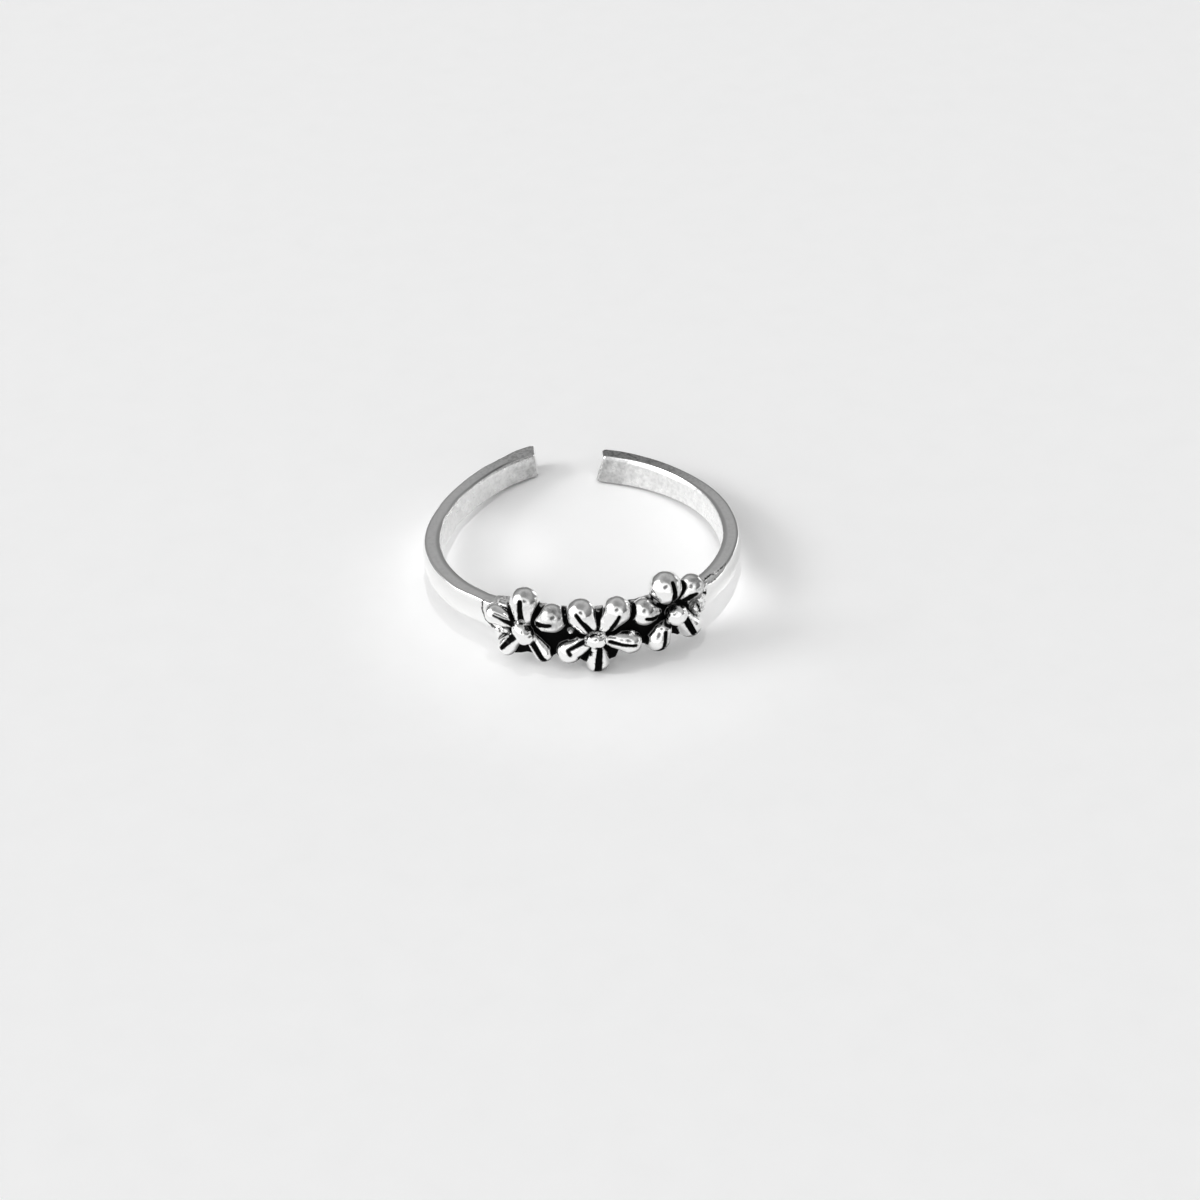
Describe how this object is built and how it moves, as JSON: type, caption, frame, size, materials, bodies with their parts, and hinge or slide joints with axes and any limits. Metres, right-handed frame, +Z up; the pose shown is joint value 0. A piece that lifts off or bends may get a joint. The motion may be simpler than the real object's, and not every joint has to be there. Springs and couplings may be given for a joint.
{
  "type": "toe ring",
  "caption": "Open silver toe ring with five-petalled flowers in cast relief on its front and a plain springy band.",
  "frame": {"origin": "on the surface that the ring rests on, under the middle of its footprint", "axes": "+Z up from the surface, -Y towards the flowers, +Y towards the opening between the ends, +X to the right seen from the flowers' side"},
  "size_m": [0.0172, 0.0185, 0.0051],
  "materials": {
    "silver": "polished cast silver, blackened in the recesses of the flowers, satin on the band's upper edge"
  },
  "bodies": {
    "root": {"toe_ring": "silver"}
  },
  "joints": []
}
